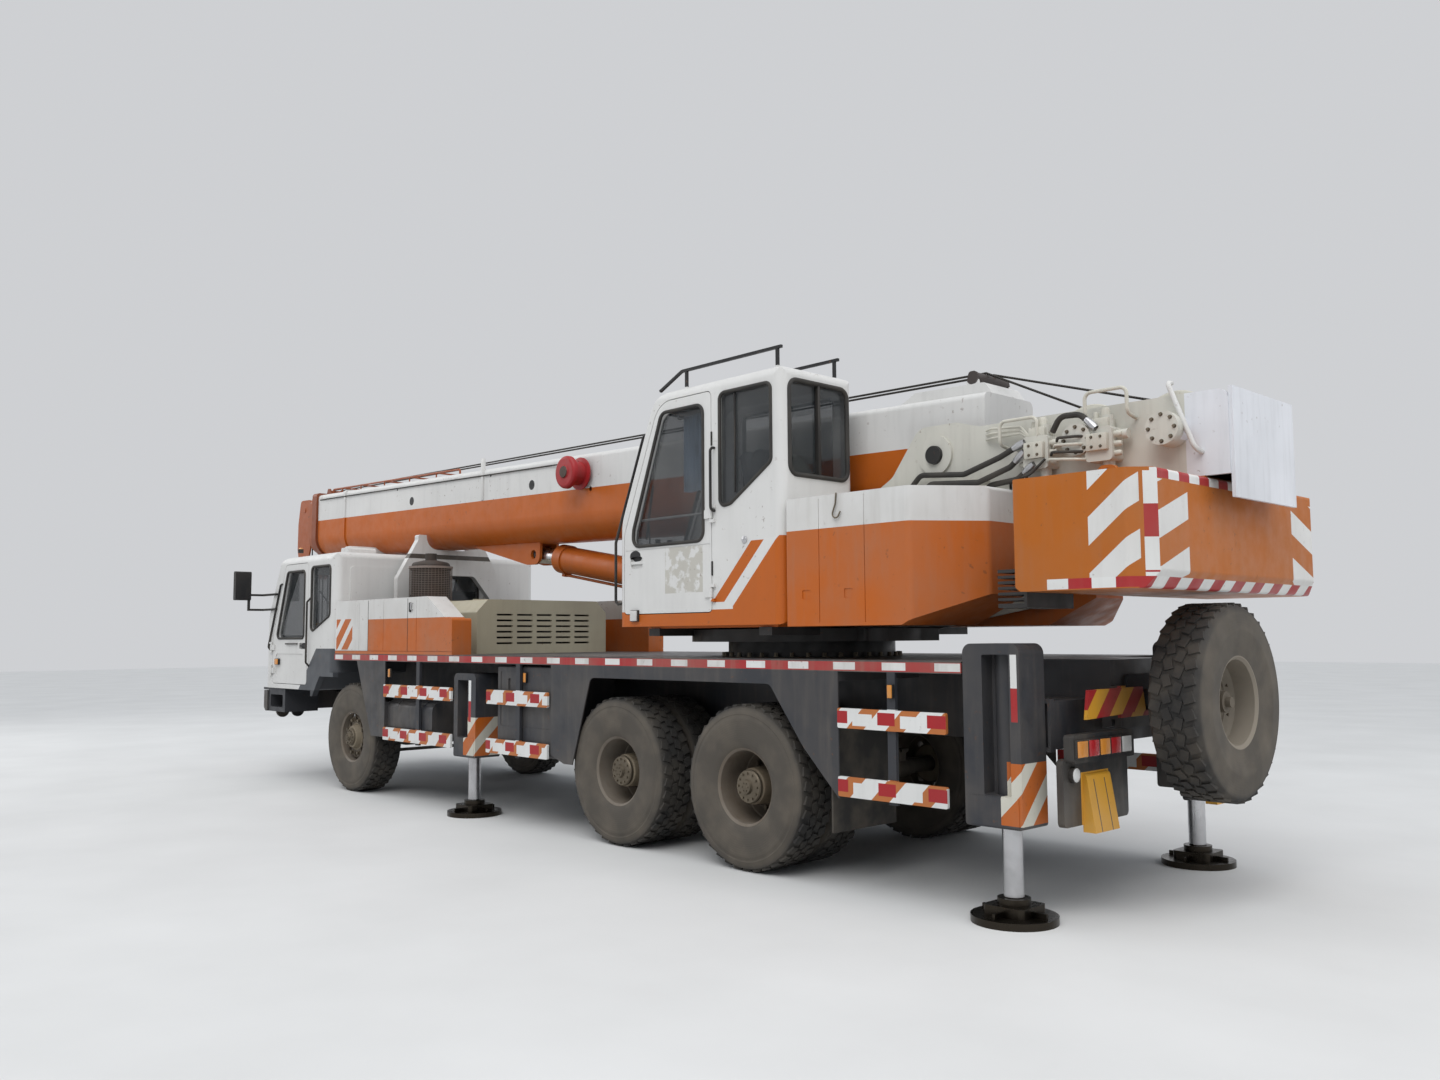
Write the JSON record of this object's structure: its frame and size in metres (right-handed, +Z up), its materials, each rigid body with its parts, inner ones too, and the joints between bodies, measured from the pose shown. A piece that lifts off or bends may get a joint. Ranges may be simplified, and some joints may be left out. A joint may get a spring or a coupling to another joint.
{
  "type": "three-axle truck crane",
  "caption": "Truck crane on three axles with driver's cab, slewing upper works, operator's cab, telescopic luffing boom, counterweight and outriggers.",
  "frame": {"origin": "on the ground below the middle of the machine's outline", "axes": "+X to the driver's cab and the boom head, +Y to the left, +Z up"},
  "size_m": [12.3631, 3.18, 3.5],
  "materials": {
    "white_paint": "gloss, slightly dirty",
    "orange_paint": "gloss",
    "slate_paint": "satin",
    "locker_paint": "gloss, white above orange",
    "beige_paint": "satin",
    "rust_red_paint": "matt",
    "red_paint": "gloss",
    "yellow_paint": "gloss",
    "striped_guard": "red, white and orange stripes",
    "rim_paint": "satin",
    "dark_steel": "rough",
    "engine_iron": "rough",
    "chrome": "polished",
    "black_trim": "matt",
    "cab_trim": "matt",
    "tyre_rubber": "matt",
    "glass": "clear, slightly grey"
  },
  "bodies": {
    "carrier": {"chassis_frame": "slate_paint", "deck": "white_paint", "side_boxes": "slate_paint", "side_guards": "striped_guard", "tool_covers": "locker_paint", "engine_hood": "beige_paint", "engine": "engine_iron", "muffler": "dark_steel", "boom_rest": "white_paint", "driver_cab": "white_paint", "driver_cab_glass": "glass", "driver_cab_interior": "cab_trim", "front_bumper": "slate_paint", "mirrors": "black_trim", "front_axle": "dark_steel", "rear_axles": "dark_steel", "spare_wheel": "tyre_rubber", "lamp_boards": "slate_paint"},
    "driver_door_left": {"driver_door_left": "white_paint"},
    "driver_door_right": {"driver_door_right": "white_paint"},
    "knuckle_left": {"knuckle_left": "dark_steel"},
    "knuckle_right": {"knuckle_right": "dark_steel"},
    "tie_rod": {"tie_rod": "dark_steel"},
    "front_wheel_left": {"front_rim_left": "rim_paint", "front_tyre_left": "tyre_rubber"},
    "front_wheel_right": {"front_rim_right": "rim_paint", "front_tyre_right": "tyre_rubber"},
    "middle_wheels_left": {"middle_rims_left": "rim_paint", "middle_tyres_left": "tyre_rubber"},
    "middle_wheels_right": {"middle_rims_right": "rim_paint", "middle_tyres_right": "tyre_rubber"},
    "rear_wheels_left": {"rear_rims_left": "rim_paint", "rear_tyres_left": "tyre_rubber"},
    "rear_wheels_right": {"rear_rims_right": "rim_paint", "rear_tyres_right": "tyre_rubber"},
    "front_beam_left": {"front_beam_left": "slate_paint"},
    "front_jack_left": {"front_jack_left": "chrome"},
    "front_beam_right": {"front_beam_right": "slate_paint"},
    "front_jack_right": {"front_jack_right": "chrome"},
    "rear_beam_left": {"rear_beam_left": "slate_paint"},
    "rear_jack_left": {"rear_jack_left": "chrome"},
    "rear_beam_right": {"rear_beam_right": "slate_paint"},
    "rear_jack_right": {"rear_jack_right": "chrome"},
    "turntable": {"turntable": "orange_paint", "operator_cab": "white_paint", "operator_cab_glass": "glass", "operator_interior": "cab_trim", "upper_covers": "orange_paint", "counterweight": "orange_paint"},
    "operator_door": {"operator_door": "white_paint"},
    "main_winch": {"main_winch_drum": "dark_steel"},
    "auxiliary_winch": {"auxiliary_winch_drum": "dark_steel"},
    "boom": {"boom_base": "orange_paint", "cable_reel": "red_paint"},
    "boom_second": {"boom_second": "rust_red_paint"},
    "boom_third": {"boom_third": "orange_paint"},
    "boom_fourth": {"boom_fourth": "orange_paint"},
    "luff_barrel": {"luff_barrel": "orange_paint"},
    "luff_rod": {"luff_rod": "chrome"},
    "hook_block": {"hook_block": "yellow_paint"}
  },
  "joints": [
    {"name": "driver_door_left_hinge", "type": "hinge", "parent": "carrier", "child": "driver_door_left", "pos_m": [4.436, 1.264, 1.33], "axis": [0, 0, -1], "range_deg": [0, 70]},
    {"name": "driver_door_right_hinge", "type": "hinge", "parent": "carrier", "child": "driver_door_right", "pos_m": [4.436, -1.264, 1.33], "axis": [0, 0, 1], "range_deg": [0, 70]},
    {"name": "steering_left", "type": "hinge", "parent": "carrier", "child": "knuckle_left", "pos_m": [2.6, 0.85, 0.55], "axis": [0, 0, 1], "range_deg": [-35, 35]},
    {"name": "steering_right", "type": "hinge", "parent": "carrier", "child": "knuckle_right", "pos_m": [2.6, -0.85, 0.55], "axis": [0, 0, 1], "range_deg": [-35, 35]},
    {"name": "tie_rod_end", "type": "hinge", "parent": "knuckle_left", "child": "tie_rod", "pos_m": [2.36, 0.85, 0.407], "axis": [0, 0, 1], "range_deg": [-35, 35]},
    {"name": "front_wheel_left_spin", "type": "hinge", "parent": "knuckle_left", "child": "front_wheel_left", "pos_m": [2.6, 1.032, 0.55], "axis": [0, 1, 0], "continuous": true},
    {"name": "front_wheel_right_spin", "type": "hinge", "parent": "knuckle_right", "child": "front_wheel_right", "pos_m": [2.6, -1.032, 0.55], "axis": [0, 1, 0], "continuous": true},
    {"name": "middle_wheels_left_spin", "type": "hinge", "parent": "carrier", "child": "middle_wheels_left", "pos_m": [-1.825, 1.077, 0.55], "axis": [0, 1, 0], "continuous": true},
    {"name": "middle_wheels_right_spin", "type": "hinge", "parent": "carrier", "child": "middle_wheels_right", "pos_m": [-1.825, -1.077, 0.55], "axis": [0, 1, 0], "continuous": true},
    {"name": "rear_wheels_left_spin", "type": "hinge", "parent": "carrier", "child": "rear_wheels_left", "pos_m": [-3.175, 1.077, 0.55], "axis": [0, 1, 0], "continuous": true},
    {"name": "rear_wheels_right_spin", "type": "hinge", "parent": "carrier", "child": "rear_wheels_right", "pos_m": [-3.175, -1.077, 0.55], "axis": [0, 1, 0], "continuous": true},
    {"name": "front_beam_left_slide", "type": "slide", "parent": "carrier", "child": "front_beam_left", "axis": [0, 1, 0], "range_m": [0, 1.5]},
    {"name": "front_jack_left_slide", "type": "slide", "parent": "front_beam_left", "child": "front_jack_left", "axis": [0, 0, -1], "range_m": [-0.35, 0.15]},
    {"name": "front_beam_right_slide", "type": "slide", "parent": "carrier", "child": "front_beam_right", "axis": [0, -1, 0], "range_m": [0, 1.5]},
    {"name": "front_jack_right_slide", "type": "slide", "parent": "front_beam_right", "child": "front_jack_right", "axis": [0, 0, -1], "range_m": [-0.35, 0.15]},
    {"name": "rear_beam_left_slide", "type": "slide", "parent": "carrier", "child": "rear_beam_left", "axis": [0, 1, 0], "range_m": [0, 1.5]},
    {"name": "rear_jack_left_slide", "type": "slide", "parent": "rear_beam_left", "child": "rear_jack_left", "axis": [0, 0, -1], "range_m": [-0.35, 0.15]},
    {"name": "rear_beam_right_slide", "type": "slide", "parent": "carrier", "child": "rear_beam_right", "axis": [0, -1, 0], "range_m": [0, 1.5]},
    {"name": "rear_jack_right_slide", "type": "slide", "parent": "rear_beam_right", "child": "rear_jack_right", "axis": [0, 0, -1], "range_m": [-0.35, 0.15]},
    {"name": "slewing", "type": "hinge", "parent": "carrier", "child": "turntable", "pos_m": [-2.7, 0, 1.4], "axis": [0, 0, 1], "continuous": true},
    {"name": "operator_door_hinge", "type": "hinge", "parent": "turntable", "child": "operator_door", "pos_m": [-2.866, 1.214, 2.1], "axis": [0, 0, 1], "range_deg": [0, 100]},
    {"name": "main_winch_turn", "type": "hinge", "parent": "turntable", "child": "main_winch", "pos_m": [-5.31, 0, 2.68], "axis": [0, 1, 0], "continuous": true},
    {"name": "auxiliary_winch_turn", "type": "hinge", "parent": "turntable", "child": "auxiliary_winch", "pos_m": [-5.83, 0, 2.68], "axis": [0, 1, 0], "continuous": true},
    {"name": "luffing", "type": "hinge", "parent": "turntable", "child": "boom", "pos_m": [-4.22, 0, 2.73], "axis": [0, -1, 0], "range_deg": [0, 80]},
    {"name": "boom_second_slide", "type": "slide", "parent": "boom", "child": "boom_second", "axis": [0.9997, 0, 0.0244], "range_m": [0, 7]},
    {"name": "boom_third_slide", "type": "slide", "parent": "boom_second", "child": "boom_third", "axis": [0.9997, 0, 0.0244], "range_m": [0, 7]},
    {"name": "boom_fourth_slide", "type": "slide", "parent": "boom_third", "child": "boom_fourth", "axis": [0.9997, 0, 0.0244], "range_m": [0, 7]},
    {"name": "luff_barrel_tilt", "type": "hinge", "parent": "turntable", "child": "luff_barrel", "pos_m": [-2.7, 0, 1.78], "axis": [0, -1, 0], "range_deg": [0, 83.4]},
    {"name": "luff_rod_slide", "type": "slide", "parent": "luff_barrel", "child": "luff_rod", "axis": [0.9866, 0, 0.1631], "range_m": [0, 2.289]},
    {"name": "hook_swing", "type": "hinge", "parent": "boom_fourth", "child": "hook_block", "pos_m": [6.03416, 0, 2.48046], "axis": [0, -1, 0], "range_deg": [-80, 0]}
  ],
  "couplings": [
    {"joint": "steering_right", "follows": "steering_left", "ratio": 1},
    {"joint": "tie_rod_end", "follows": "steering_left", "ratio": -1},
    {"joint": "boom_fourth_slide", "follows": "boom_third_slide", "ratio": 1},
    {"joint": "luff_barrel_tilt", "follows": "luffing", "ratio": 1.0416},
    {"joint": "luff_rod_slide", "follows": "luffing", "m_per_rad": 1.6389},
    {"joint": "hook_swing", "follows": "luffing", "ratio": -1}
  ]
}
